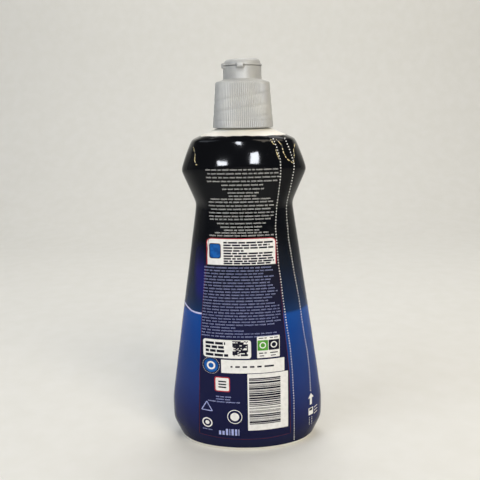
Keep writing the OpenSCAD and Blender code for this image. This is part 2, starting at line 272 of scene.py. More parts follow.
def makeBottle(material):
    t = evenDirections(bottle["around"])
    wall, band, pushUp = body["wall"], 1 - body["footBand"] / body["bends"][0][1], body["pushUp"]
    foot, innerFoot = bodyPoints(t, 0.0), bodyPoints(t, 0.0, -wall)
    circle = np.stack([np.cos(t), np.sin(t), 0 * t], -1)

    def dome(ring, share, z):
        return ring * [share, share, 0] + [0, 0, z]

    def hoop(r, z):
        return circle * np.reshape(r, (-1, 1)) + [0, 0, z]

    # outside, from the foot's middle up to the mouth
    rings = [dome(foot, band * share, pushUp * (1 - share ** 4)) for share in bottle["dome"]]
    rings += [dome(foot, band, 0), dome(foot, bottle["footEdge"], 0.0)]
    outer = levelsBetween(bottle["low"], bottle["high"], bottle["step"], bottle["fineStep"])
    rings += [bodyPoints(t, z) for z in outer]
    rings += [bodyPoints(t, z) for z in bottle["rootLevels"]]
    rings += [hoop(r, rootZ + up) for r, up in bottle["rootRound"]]
    neckR, top, bead = bottle["neckR"], bottle["neckTop"], rootZ + bottle["beadUp"]
    rings += [hoop(neckR + bottle["beadOut"] * share, bead + up) for share, up in bottle["bead"]]
    z = bead + bottle["neckFrom"]
    while z < top - bottle["neckTo"]:
        rings.append(hoop(neckR + threadHeight(t, z), z))
        z += bottle["neckStep"]
    rings += [hoop(r, top - down) for r, down in bottle["lip"]]

    # inside, down the bore and the wall to the foot's middle
    rings += [hoop(bottle["boreR"], z) for z in bottle["boreLevels"] + (rootZ - wall,)]
    rings += [hoop(r, rootZ - wall - down) for r, down in bottle["underRoot"]]
    squeeze = 1 - 2 * wall / rootZ
    inner = levelsBetween(bottle["innerLow"], bottle["high"], bottle["innerStep"], bottle["innerFineStep"])
    for z in reversed(inner):
        ring = bodyPoints(t, z, -wall)
        ring[:, 2] += wall + z * squeeze - z
        rings.append(ring)
    rings += [dome(innerFoot, band, wall)]
    rings += [dome(innerFoot, band * share, pushUp * (1 - share ** 4) + wall)
              for share in bottle["innerDome"]]
    ends = [(0, 0, pushUp), (0, 0, pushUp + wall)]
    return turnedPiece("bottle_shell", rings, material, ends, bottle["sharp"])


# Printed shrink sleeve

sleeve = {
    "around": 288, "sharp": 60, "low": 2.0, "high": 184.0, "gap": 0.05, "film": 0.1,
    "step": 1.5, "fineStep": 0.6, "closeFrom": 160, "innerStep": 5.0, "innerFineStep": 1.2, "innerWave": 0.8,
    # slow waves: how high and how many, and the range of turns round the body and of length up it
    "wave": 0.06, "waves": 7, "waveSwing": 1.6, "waveTurns": (1, 5), "waveRise": (18, 60), "waveSeed": 11,
    "fullTurn": 6.28, "crown": 0.28,
    # crease: how high, its direction and width, the heights it fades over, and its two ripples
    "crease": 0.07, "creaseAt": -0.86, "creaseWide": 0.15, "creaseFrom": (168.0, 4), "creaseTo": (184.6, 1.4),
    "ripples": ((46, 0.5, 6, 0.9), (71, 1.3, 0.7)),
    # unevenness of the upper cut: turns, height and phase, and the height that it starts at
    "ragged": ((3, 0.08, 1), (7, 0.07, 0), (17, 0.07, 2)), "raggedFrom": (181, 3),
    "halvings": 26,
    # dark print panel: height, left edge, right edge
    "panelEdges": [(8.5, -29.6, 25.6), (47.5, -27.8, 24.6), (84.6, -25.4, 20.9), (128.0, -20.4, 17.5)],
    "panelFoot": 9.4,
    # colour of the sides from the foot up: height and colour
    "sides": [(0, "#0f1330"), (10, "#131943"), (22, "#17225a"), (40, "#1a3476"), (56, "#123a80"),
              (72, "#044090"), (83.0, "#04489c"), (84.6, "#042c5c"), (92, "#042044"), (112, "#051224"),
              (128, "#05080f"), (184, "#05060a")],
    "panel": [(0, "#0c1038"), (30, "#0a0f3c"), (70, "#0c103c"), (100, "#0a0d28"), (118, "#070918"),
              (128, "#05080f"), (184, "#05060a")],
    # violet glow beside the panel: its strength by height and by distance from the middle
    "glow": "#2b1f96", "glowHigh": ((88, 0), (97, 0.9), (108, 0.9), (116, 0.3), (126, 0)),
    "glowWide": ((-30, 0), (-27.4, 0.8), (-24, 0.8), (-22, 0)),
    "gloss": 0.15, "rough": (0.04, 0.11),
    # sizes of the patterns: mist in the glow, haze of the gloss, ripple of the wall, peel of the film
    "mist": 38.5, "haze": 16.7, "ripple": 8.0, "peel": 1.11,
}


def filmWave(t, z):
    # a blown wall is never quite true: slow waves, a crown above the ridge, and creases beside the tear lines
    waves, fullTurn = random.Random(sleeve["waveSeed"]), sleeve["fullTurn"]
    total = 0 * z
    for _ in range(sleeve["waves"]):
        turns, rise = waves.randint(*sleeve["waveTurns"]), waves.uniform(*sleeve["waveRise"])
        total = total + np.sin(turns * t + fullTurn * z / rise + waves.uniform(0, fullTurn))
    total = sleeve["wave"] * (1 + total / sleeve["waves"] * sleeve["waveSwing"])
    crown = np.sin(math.pi * np.clip((z - ridgeZ) / (shoulderZ - ridgeZ), 0, 1))
    (low, rising), (high, falling) = sleeve["creaseFrom"], sleeve["creaseTo"]
    near = np.exp(-((t - sleeve["creaseAt"]) / sleeve["creaseWide"]) ** 2)
    near = near * smooth((z - low) / rising) * smooth((high - z) / falling)
    (around, up, back, across), (fineAround, fineUp, fine) = sleeve["ripples"]
    crinkle = np.sin(t * around + z * up) * np.sin(z * across - t * back)
    crinkle = crinkle + fine * np.sin(t * fineAround - z * fineUp)
    return np.maximum(0, total + sleeve["crown"] * crown + sleeve["crease"] * (1 + crinkle) * near)


def filmOut(t, z):
    return sleeve["gap"] + sleeve["film"] + filmWave(t, z)


def frontPoint(x, z, out):
    # the point of the film's front at a distance x from the middle and a height z, stood out by out
    x, z, out = np.broadcast_arrays(np.asarray(x, float), np.asarray(z, float), np.asarray(out, float))
    low, high = np.full(x.shape, -math.pi), np.zeros(x.shape)
    level = z.copy()
    for _ in range(sleeve["halvings"]):
        t = (low + high) / 2
        level = z - archLift(t, level)
        left = (bodyR(t, level) + filmOut(t, level) + out) * np.cos(t) < x
        low, high = np.where(left, t, low), np.where(left, high, t)
    t = (low + high) / 2
    r = bodyR(t, level) + filmOut(t, level) + out
    return np.stack([r * np.cos(t), r * np.sin(t), z], -1)


def filmMaterial():
    # gloss shrink film, printed on its inner face: deep even colour under a hard clear surface
    material, tree, shader = newMaterial("petgShrinkFilm")
    shader.inputs["IOR"].default_value = 1.5
    shader.inputs["Specular IOR Level"].default_value = sleeve["gloss"]
    place = addNode(tree, "ShaderNodeTexCoord").outputs["Object"]
    axes = addNode(tree, "ShaderNodeSeparateXYZ", None, {"Vector": place})
    tall, wide = 190.0, 100.0     # the ramps and curves span these many millimetres

    def along(axis, size, shift=0.0):
        return addNode(tree, "ShaderNodeMath", {"operation": "MULTIPLY_ADD", 1: 1 / (size * mm), 2: shift},
                       {0: axes.outputs[axis]}).outputs[0]

    def rampOf(source, stops):
        ramp = addNode(tree, "ShaderNodeValToRGB", None, {"Fac": source})
        setRamp(ramp, stops)
        return ramp.outputs["Color"]

    def heightColours(stops):
        return rampOf(height, [(z / tall, linear(colour)) for z, colour in stops])

    def edgeCurve(column):
        curve = addNode(tree, "ShaderNodeFloatCurve", None, {"Value": height})
        points = [(row[0] / tall, row[column] / wide + 0.5) for row in sleeve["panelEdges"]]
        line = curve.mapping.curves[0].points
        line[0].location, line[1].location = (0, points[0][1]), (1, points[-1][1])
        for p in points:
            line.new(*p)
        curve.mapping.update()
        return curve.outputs["Value"]

    def combine(operation, a, b):
        return addNode(tree, "ShaderNodeMath", {"operation": operation}, {0: a, 1: b}).outputs[0]

    def compare(operation, source, value):
        return addNode(tree, "ShaderNodeMath", {"operation": operation, 1: value}, {0: source}).outputs[0]

    # where the dark panel lies
    height, across = along("Z", tall), along("X", wide, 0.5)
    isFront = compare("LESS_THAN", axes.outputs["Y"], 0.0)
    inside = combine("MULTIPLY", combine("GREATER_THAN", across, edgeCurve(1)),
                     combine("LESS_THAN", across, edgeCurve(2)))
    above = compare("GREATER_THAN", height, sleeve["panelFoot"] / tall)
    inside = combine("MULTIPLY", combine("MULTIPLY", inside, isFront), above)

    # a soft violet glow beside the panel, broken up like light through mist
    mist = addNode(tree, "ShaderNodeTexNoise", {"Scale": patternScale(sleeve["mist"]), "Detail": 4.0},
                   {"Vector": place})
    glowHigh = rampOf(height, [(z / tall, (v, v, v, 1)) for z, v in sleeve["glowHigh"]])
    glowWide = rampOf(across, [(x / wide + 0.5, (v, v, v, 1)) for x, v in sleeve["glowWide"]])
    glow = combine("MULTIPLY", combine("MULTIPLY", glowHigh, glowWide),
                   combine("MULTIPLY", mist.outputs["Fac"], isFront))
    sides = addNode(tree, "ShaderNodeMix", {"data_type": "RGBA", 7: linear(sleeve["glow"])},
                    {0: glow, 6: heightColours(sleeve["sides"])})
    colour = addNode(tree, "ShaderNodeMix", {"data_type": "RGBA"},
                     {0: inside, 6: sides.outputs[2], 7: heightColours(sleeve["panel"])})
    tree.links.new(colour.outputs[2], shader.inputs["Base Color"])

    # haze of the gloss, then the wall's ripple and a faint peel from the heat tunnel
    haze = addNode(tree, "ShaderNodeTexNoise", {"Scale": patternScale(sleeve["haze"]), "Detail": 3.0},
                   {"Vector": place})
    smoothest, roughest = sleeve["rough"]
    rough = addNode(tree, "ShaderNodeMapRange", {3: smoothest, 4: roughest}, {0: haze.outputs["Fac"]})
    tree.links.new(rough.outputs[0], shader.inputs["Roughness"])
    ripple = addNode(tree, "ShaderNodeTexNoise", {"Scale": patternScale(sleeve["ripple"]), "Detail": 1.0},
                     {"Vector": place})
    peel = addNode(tree, "ShaderNodeTexNoise", {"Scale": patternScale(sleeve["peel"]), "Detail": 1.0},
                   {"Vector": place})
    first = addNode(tree, "ShaderNodeBump", {"Strength": 0.25, "Distance": 0.0004},
                    {"Height": ripple.outputs["Fac"]})
    second = addNode(tree, "ShaderNodeBump", {"Strength": 0.04, "Distance": 0.0001},
                     {"Height": peel.outputs["Fac"], "Normal": first.outputs["Normal"]})
    tree.links.new(second.outputs["Normal"], shader.inputs["Normal"])
    return material


def makeSleeve(material):
    t = evenDirections(sleeve["around"])
    fineStep, closeFrom = sleeve["fineStep"], sleeve["closeFrom"]
    levels = levelsBetween(sleeve["low"], closeFrom, sleeve["step"], fineStep)
    levels += levelsBetween(closeFrom + fineStep, sleeve["high"], fineStep, fineStep)
    ragged = sum(tall * np.sin(turns * t + phase) for turns, tall, phase in sleeve["ragged"])
    start, rise = sleeve["raggedFrom"]

    def cutEdge(z):     # the upper edge is cut a little unevenly
        return z + ragged * smooth((z - start) / rise)

    rings = [bodyPoints(t, cutEdge(z), filmOut(t, cutEdge(z))) for z in levels]
    inner = levelsBetween(sleeve["low"], sleeve["high"], sleeve["innerStep"], sleeve["innerFineStep"])
    rings += [bodyPoints(t, cutEdge(z), sleeve["gap"] + filmWave(t, cutEdge(z)) * sleeve["innerWave"])
              for z in reversed(inner)]
    return turnedPiece("shrink_sleeve_film", rings, material, None, sleeve["sharp"])


# Print on the sleeve: thin layers of ink, laid out in millimetres from the middle and from the foot

laying = {
    # how far the foot of each layer stands off the film, and how thick it is
    "first": 0.012, "second": 0.034, "third": 0.056, "thick": 0.02,
    # steps between the points of a shape; the whole step lays it in one piece
    "rowStep": 1.0, "columnStep": 1.6, "lineStep": 1.2, "fineStep": 0.4, "wholeStep": 9,
    "cornerAngles": (0, 30, 50, 70, 90), "discFrom": 8, "smallDisc": 0.5, "ringPoints": 28,
    # a rounded ridge: its step, how soon it fades at its ends, and the points across it
    "beadStep": 0.5, "beadFade": 0.2, "beadShares": (-1, -0.75, -0.4, 0, 0.4, 0.75, 1),
    # rows of ticks and of bars: ticks in a group, gap between groups, bars' lengths and gap, least room
    "group": (4, 12), "groupGap": 0.55, "bar": (1.8, 5.4), "barGap": 0.6, "leastRoom": 0.6,
    "sharp": 30, "seed": 4, "rough": (0.14, 0.26), "plateCells": 2.38,
}
rng = random.Random(laying["seed"])


def cornerDrop(x, x0, x1, corner):
    # how far a rounded corner draws the edge back at x
    d = corner - min(x - x0, x1 - x)
    return corner - math.sqrt(max(0, corner ** 2 - d ** 2)) if d > 0 else 0.0


class Ink:
    # gathers flat shapes as grids of points, then lays them all on the film at once
    def __init__(self, name):
        self.name, self.points, self.outs, self.faces, self.size = name, [], [], [], 0

    def grid(self, points, layer, rise=0.0):
        # rise lifts the upper face of each point further, for a rounded ridge
        rows, columns = points.shape[:2]
        flat = points.reshape(-1, 2)
        base = self.size
        count = len(flat)
        low = laying[layer]
        self.points += [flat, flat]
        self.outs += [np.full(count, low), np.full(count, low + laying["thick"]) + np.ravel(rise)]
        self.size += 2 * count
        for j in range(rows - 1):
            for i in range(columns - 1):
                a, b = base + j * columns + i, base + (j + 1) * columns + i
                self.faces += [(a, b, b + 1, a + 1), (a + count, a + 1 + count, b + 1 + count, b + count)]
        edge = [base + i for i in range(columns)]
        edge += [base + j * columns + columns - 1 for j in range(1, rows)]
        edge += [base + (rows - 1) * columns + i for i in range(columns - 2, -1, -1)]
        edge += [base + j * columns for j in range(rows - 2, 0, -1)]
        self.faces += [(a, b, b + count, a + count) for a, b in zip(edge, edge[1:] + edge[:1])]

    def rowsFor(self, tall):
        # rows about a millimetre apart, so that a tall shape follows the bends under it
        return max(2, round(tall / laying["rowStep"]) + 1)

    def patch(self, x0, x1, low, high, layer="first", step=laying["columnStep"]):
        # low and high give the lower and upper edge at each x, as numbers or functions
        columns = max(2, int(abs(x1 - x0) / step) + 2)
        x = np.linspace(x0, x1, columns)
        bottom = np.array([low(v) if callable(low) else low for v in x])
        top = np.array([high(v) if callable(high) else high for v in x])
        rows = self.rowsFor(float(np.max(top - bottom)))
        share = np.linspace(0, 1, rows)[:, None]
        self.grid(np.stack([np.tile(x, (rows, 1)), bottom + (top - bottom) * share], -1), layer)

    def block(self, x0, x1, z0, z1, corner, layer="first"):
        # a rectangle with rounded corners
        edges = [corner * (1 - math.cos(math.radians(a))) for a in laying["cornerAngles"]]
        count = max(2, int((x1 - x0 - 2 * corner) / laying["columnStep"]) + 2)
        x = np.array([x0 + e for e in edges[:-1]] + list(np.linspace(x0 + corner, x1 - corner, count))
                     + [x1 - e for e in reversed(edges[:-1])])
        inset = np.array([cornerDrop(v, x0, x1, corner) for v in x])
        rows = max(3, self.rowsFor(z1 - z0))
        share = np.linspace(0, 1, rows)[:, None]
        self.grid(np.stack([np.tile(x, (rows, 1)), z0 + inset + (z1 - z0 - 2 * inset) * share], -1), layer)

    def disc(self, x, z, r, layer="first", steps=12):
        angles = np.radians(np.linspace(laying["discFrom"], 180 - laying["discFrom"], steps))
        columns = x - r * np.cos(angles)
        rise = r * np.sin(angles)
        share = np.linspace(-1, 1, 2 if r < laying["smallDisc"] else 5)[:, None]
        self.grid(np.stack([np.tile(columns, (len(share), 1)), z + rise * share], -1), layer)

    def track(self, route, width, step):
        # close points along a route of corner points, and the half width to their left
        dense = [route[0]]
        for (x0, z0), (x1, z1) in zip(route, route[1:]):
            pieces = max(1, int(math.dist((x0, z0), (x1, z1)) / step))
            dense += [(x0 + (x1 - x0) * i / pieces, z0 + (z1 - z0) * i / pieces)
                      for i in range(1, pieces + 1)]
        dense = np.array(dense)
        along = np.gradient(dense, axis=0)
        along /= np.linalg.norm(along, axis=1)[:, None]
        return dense, np.stack([-along[:, 1], along[:, 0]], -1) * width / 2

    def line(self, route, width, layer="first", step=laying["lineStep"]):
        dense, side = self.track(route, width, step)
        self.grid(np.stack([dense - side, dense + side]), layer)

    def bead(self, route, width, high):
        # a rounded ridge that fades out at both ends of its route
        dense, side = self.track(route, width, laying["beadStep"])
        fade = np.sin(np.linspace(laying["beadFade"], math.pi - laying["beadFade"], len(dense))) ** 0.5
        shares = np.array(laying["beadShares"])
        rise = high * (1 - shares[:, None] ** 2) * fade
        self.grid(dense + side * shares[:, None, None], "first", rise)

    def ring(self, x, z, r, width, layer="first"):
        angles = np.radians(np.linspace(0, 360, laying["ringPoints"]))
        route = [(x + r * math.cos(a), z + r * math.sin(a)) for a in angles]
        self.line(route, width, layer, laying["wholeStep"])

    def ticks(self, x0, x1, z, style):
        # a row of equal upright ticks in groups; the style is row height, tick width and spacing in widths
        tall, wide, spacing = style
        x = x0
        while x < x1 - laying["leastRoom"]:
            for _ in range(rng.randint(*laying["group"])):
                if x > x1:
                    break
                self.patch(x, x + wide, z - tall / 3, z + tall / 3, "first", laying["wholeStep"])
                x += wide * spacing
            x += tall * laying["groupGap"]

    def bars(self, x0, x1, z, tall):
        # a row of plain bars of different lengths
        x = x0
        while x < x1 - laying["leastRoom"]:
            wide = min(rng.uniform(*laying["bar"]), x1 - x)
            self.patch(x, x + wide, z - tall / 2, z + tall / 2, "second")
            x += wide + laying["barGap"]

    def lay(self, material):
        points = np.concatenate(self.points)
        placed = frontPoint(points[:, 0], points[:, 1], np.concatenate(self.outs))
        piece = makeMesh(self.name, placed, self.faces, material, laying["sharp"])
        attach(piece, "bottle_body")
        return piece


# each ink's colour and the slightly different one of its plate cells
inkColours = {
    "white": ("#f6f6f4", "#ececea"), "lilac": ("#b4bcee", "#9ea8e0"), "dark": ("#101022", "#18182c"),
    "red": ("#c03a44", "#a82f3a"), "blue": ("#1561b4", "#0d4a94"), "green": ("#5da83c", "#4b9430"),
    "panel_line": ("#5a2036", "#46182c"), "pale_line": ("#d3d3f6", "#bcbff0"),
}
inks = {name: Ink("print_" + name) for name in inkColours}


def inkMaterial(name, colour, tint):
    # flexographic ink behind a clear gloss film: slightly uneven where the cells of the plate show
    material, tree, shader = newMaterial(name)
    shader.inputs["IOR"].default_value = 1.5
    shader.inputs["Specular IOR Level"].default_value = sleeve["gloss"]
    place = addNode(tree, "ShaderNodeTexCoord").outputs["Object"]
    # plate cells are about 0.1 mm; drawn coarser so that they show
    cells = addNode(tree, "ShaderNodeTexNoise", {"Scale": patternScale(laying["plateCells"]), "Detail": 2.0},
                    {"Vector": place})
    ramp = addNode(tree, "ShaderNodeValToRGB", None, {"Fac": cells.outputs["Fac"]})
    setRamp(ramp, [(0.35, linear(tint)), (0.6, linear(colour))])
    tree.links.new(ramp.outputs["Color"], shader.inputs["Base Color"])
    smoothest, roughest = laying["rough"]
    haze = addNode(tree, "ShaderNodeMapRange", {3: smoothest, 4: roughest}, {0: cells.outputs["Fac"]})
    tree.links.new(haze.outputs[0], shader.inputs["Roughness"])
    return material


# four full rows, four short ones and twelve more above the white box: height and half length
upperRows = {
    "middle": -1.9, "topShift": 1.2, "topTick": (1.1, 0.12, 3.0), "bodyTick": (1.1, 0.15, 3.0),
    "full": [(166.2, 20.2), (164.1, 19.2), (162.0, 20.0), (159.9, 19.6)],
    "short": [(157.8, 11.8), (155.6, 11.4), (153.5, 8.3), (151.7, 7.8)],
    "body": [(150.0, 16.6), (148.3, 17.8), (146.2, 17.8), (144.3, 16.6), (142.3, 17.8), (140.4, 17.8),
             (138.7, 17.4), (136.4, 13.4), (134.4, 11.6), (132.7, 9.6), (131.2, 14.8), (129.6, 17.8)],
}


def printUpperRows():
    for group, shift, style in (("full", upperRows["topShift"], upperRows["topTick"]),
                                ("short", upperRows["topShift"], upperRows["topTick"]),
                                ("body", 0, upperRows["bodyTick"])):
        middle = upperRows["middle"] + shift
        for z, reach in upperRows[group]:
            inks["white"].ticks(middle - reach, middle + reach, z, style)


whiteBox = {
    "left": -21.5, "right": 17.0, "low": 113.0, "high": 127.9, "corner": 2.4, "edgeStep": 0.8,
    "tile": (-20.3, -13.7, 116.6, 125.2), "tileCorner": 1.3, "tileFrame": 0.5, "fieldCorner": 1.0,
    # rows of bars: where they start, how tall they are, and the height and right end of each
    "barsFrom": -12.2, "barTall": 0.94,
    "bars": [(125.7, 16.0), (124.2, 13.6), (122.7, 15.6), (121.1, -1.0), (119.6, 15.2), (118.1, 15.8),
             (116.6, 15.6), (115.2, 16.0), (113.9, 14.0)],
    "line": 0.45, "lineOut": 0.1, "lineTurns": (0, 0.5, 1.0, math.pi / 2),
}


def printWhiteBox():
    b = whiteBox
    left, right, low, high, corner = (b[key] for key in ("left", "right", "low", "high", "corner"))

    def upperEdge(x):
        return high - cornerDrop(x, left, right, corner)

    inks["white"].patch(left, right, low, upperEdge, "first", b["edgeStep"])
    for z, end in b["bars"]:
        inks["dark"].bars(b["barsFrom"], end, z, b["barTall"])
    x0, x1, z0, z1 = b["tile"]
    rim = b["tileFrame"]
    inks["dark"].block(x0, x1, z0, z1, b["tileCorner"], "second")
    inks["blue"].block(x0 + rim, x1 - rim, z0 + rim, z1 - rim, b["fieldCorner"], "third")
    turns = b["lineTurns"]
    edge = [(left - b["lineOut"], low)]
    edge += [(left + corner * (1 - math.cos(a)), high - corner * (1 - math.sin(a))) for a in turns]
    edge += [(right - corner * (1 - math.cos(a)), high - corner * (1 - math.sin(a))) for a in reversed(turns)]
    edge += [(right + b["lineOut"], low)]
    inks["red"].line(edge, b["line"], "second")


lowerRows = {
    "top": 111.4, "pitch": 1.74, "count": 24, "short": {2: 0.84, 5: 0.9, 11: 0.92, 20: 0.46, 21: 0.56},
    # left and right ends at two heights, and how ragged the right end is
    "heights": (70, 111), "left": (-26.0, -23.2), "right": (21.0, 17.2), "ragged": 3.5,
    "thin": (1.1, 0.15, 2.8), "bold": (1.1, 0.19, 2.8), "thinShare": 0.7,
}


def printLowerRows():
    rows = lowerRows
    for i in range(rows["count"]):
        z = rows["top"] - rows["pitch"] * i
        left = float(np.interp(z, rows["heights"], rows["left"]))
        full = float(np.interp(z, rows["heights"], rows["right"])) - rng.uniform(0, rows["ragged"])
        right = left + (full - left) * rows["short"].get(i, 1.0)
        style = rows["thin"] if rng.random() < rows["thinShare"] else rows["bold"]
        inks["lilac"].ticks(left, right, z, style)


# boxes are left, right, low and high; round marks are middle, height and radius
lowerMarks = {
    "squareBox": (-25.2, 2.4, 58.5, 69.4), "squareCorner": 1.5, "barInset": 1.4, "barTall": 1.5,
    "squareBars": [(67.2, 11.4), (64.9, 10.6), (62.6, 10.8), (60.2, 13.0)],
    # left, low, cells a side and cell size, then the chances that cells join and that they are printed
    "square": (-8.3, 60.0, 15, 0.59), "joined": 0.35, "printed": 0.78,
    "disc": (-20.9, 53.6, 4.1), "discRing": (2.0, 1.0), "dots": 30, "dotsR": 4.85, "dotR": 0.19,
    "strip": (-15.0, 21.6, 49.6, 57.6), "stripFrom": -9.6, "stripHeights": (53.0, 54.0),
    "stripSizes": (1, 2, 2, 2, 2, 4), "stripUnit": 1.45, "stripCut": 0.3, "stripGap": 1.3,
    "tile": (-14.6, 42.6, 4.5), "tileCorner": 1.2, "tileFrame": 0.6, "fieldCorner": 0.8,
    "tileBars": (-1.7, 0, 1.7), "tileBar": (2.3, 0.42, 0.3),
    "rowsMiddle": -14.0, "rows": [(35.0, 4.4), (33.4, 4.4), (31.8, 9.2)], "rowTick": (1.0, 0.26, 2.0),
    "barBox": (0.0, 23.7, 14.3, 49.2), "boxCorner": 0.2, "barField": (0.9, 19.2, 18.2, 46.6),
    "barWidths": (0.28, 0.28, 0.56, 0.56, 0.84, 1.12), "barGaps": (0.28, 0.28, 0.42, 0.56, 0.84),
    "triangle": (-24.0, 27.4, 3.7), "triangleLine": 0.5,
    "target": (-24.0, 17.8, 2.7), "targetLine": 0.75, "targetHub": 1.25,
    "targetRow": (2.8, -4.4), "targetTick": (0.9, 0.24, 2.0),
    "wheel": (-7.7, 22.9, 4.2), "wheelLine": 0.42, "wheelHub": 0.62,
    "blocks": (-17.2, -4.8, 10.9, 15.0), "blockWidths": (0.5, 0.5, 1.3), "blockGap": 0.75,
    "tallShare": 0.7, "shortUp": 0.6,
}


def printSquareBox():
    m = lowerMarks
    inks["white"].block(*m["squareBox"], m["squareCorner"])
    for z, length in m["squareBars"]:
        x = m["squareBox"][0] + m["barInset"]
        inks["dark"].bars(x, x + length, z, m["barTall"])
    x0, z0, cells, size = m["square"]
    for j in range(cells):
        low, high = z0 + j * size, z0 + (j + 1) * size
        i = 0
        while i < cells:       # neighbouring cells of one row run together
            run = 1
            while rng.random() < m["joined"] and i + run < cells:
                run += 1
            if rng.random() < m["printed"]:
                left, right = x0 + i * size, x0 + (i + run) * size
                inks["dark"].patch(left, right, low, high, "second", laying["wholeStep"])
            i += run


pairBox = {
    "box": (5.8, 18.9, 58.6, 71.4), "corner": 0.4,
    # two fields of colour: height above the foot, depth below the top, edge, and gaps at the middle
    "fieldUp": 4.4, "fieldDown": 2.3, "edge": 0.3, "gaps": (0.2, 0.1),
    "shifts": (0.05, -0.1), "ringUp": 7.5, "ringR": 1.6, "ringLine": 0.6,
    # height, half length and thickness of the rows of bars
    "bars": ((70.3, 2.3, 0.5), (61.4, 2.2, 0.6), (59.8, 1.8, 0.5)),
}


def printPairBox():
    p = pairBox
    x0, x1, z0, z1 = p["box"]
    middle = (x0 + x1) / 2
    low, high, edge = z0 + p["fieldUp"], z1 - p["fieldDown"], p["edge"]
    inks["white"].block(x0, x1, z0, z1, p["corner"])
    inks["green"].block(x0 + edge, middle - p["gaps"][0], low, high, edge, "second")
    inks["dark"].block(middle + p["gaps"][1], x1 - edge, low, high, edge, "second")
    for x in ((x0 + middle) / 2 + p["shifts"][0], (middle + x1) / 2 + p["shifts"][1]):
        inks["white"].ring(x, z0 + p["ringUp"], p["ringR"], p["ringLine"], "third")
        for z, reach, tall in p["bars"]:
            inks["dark"].bars(x - reach, x + reach, z, tall)


def printDiscAndStrip():
    m = lowerMarks
    x, z, r = m["disc"]
    inks["blue"].disc(x, z, r)
    inks["white"].ring(x, z, *m["discRing"], "second")
    for k in range(m["dots"]):
        a = 2 * math.pi * k / m["dots"]
        inks["white"].disc(x + m["dotsR"] * math.cos(a), z + m["dotsR"] * math.sin(a), m["dotR"], "first", 5)
    inks["white"].block(*m["strip"], m["boxCorner"])
    x = m["stripFrom"]
    for size in m["stripSizes"]:
        wide = m["stripUnit"] * size
        inks["dark"].patch(x, x + wide - m["stripCut"], *m["stripHeights"], "second")
        x += wide + m["stripGap"]


def printTileAndBars():
    m = lowerMarks
    x, z, r = m["tile"]
    inner = r - m["tileFrame"]
    inks["red"].block(x - r, x + r, z - r, z + r, m["tileCorner"])
    inks["white"].block(x - inner, x + inner, z - inner, z + inner, m["fieldCorner"], "second")
    reach, thick, corner = m["tileBar"]
    for up in m["tileBars"]:
        inks["dark"].block(x - reach, x + reach, z + up - thick, z + up + thick, corner, "third")
    for z, reach in m["rows"]:
        inks["lilac"].ticks(m["rowsMiddle"] - reach, m["rowsMiddle"] + reach, z, m["rowTick"])
    inks["white"].block(*m["barBox"], m["boxCorner"])
    x0, x1, z, top = m["barField"]
    while z < top:
        wide = rng.choice(m["barWidths"])
        inks["dark"].patch(x0, x1, z, min(z + wide, top), "second")
        z += wide + rng.choice(m["barGaps"])


def printSmallMarks():
    m = lowerMarks
    white, lilac = inks["white"], inks["lilac"]
    x, z, r = m["triangle"]
    corners = [(x + r * math.cos(math.radians(a)), z + r * math.sin(math.radians(a))) for a in (90, 210, 330)]
    for p, q in zip(corners, corners[1:] + corners[:1]):
        lilac.line([p, q], m["triangleLine"])
    x, z, r = m["target"]
    white.ring(x, z, r, m["targetLine"])
    white.disc(x, z, m["targetHub"])
    reach, up = m["targetRow"]
    lilac.ticks(x - reach, x + reach, z + up, m["targetTick"])
    x, z, r = m["wheel"]
    white.ring(x, z, r, m["wheelLine"])
    white.disc(x, z, r * m["wheelHub"])
    x, x1, z0, z1 = m["blocks"]
    while x < x1 - laying["leastRoom"]:
        wide = rng.choice(m["blockWidths"])
        top = z1 if rng.random() < m["tallShare"] else (z0 + z1) / 2 + m["shortUp"]
        lilac.patch(x, x + wide, z0, top, "first", laying["wholeStep"])
        x += wide + m["blockGap"]


panelLine = {"wide": 0.28, "foot": [(-29.0, 9.3), (-15, 8.5), (-2, 8.3), (12, 8.5), (25.2, 9.3)]}


def printPanelLine():
    rows = sleeve["panelEdges"]
    left = [(leftEdge, z) for z, leftEdge, rightEdge in reversed(rows)]
    right = [(rightEdge, z) for z, leftEdge, rightEdge in rows]
    inks["panel_line"].line(left[:-1] + panelLine["foot"] + right[1:], panelLine["wide"])


glowLine = {
    "route": [(-36.8, 87.4), (-35.8, 85.9), (-33.8, 84.8), (-31.8, 83.9), (-29.0, 83.7), (-25.6, 83.8)],
    "wide": 0.95,
}


def printGlowLine():
    inks["pale_line"].line(glowLine["route"], glowLine["wide"], "third", laying["fineStep"])


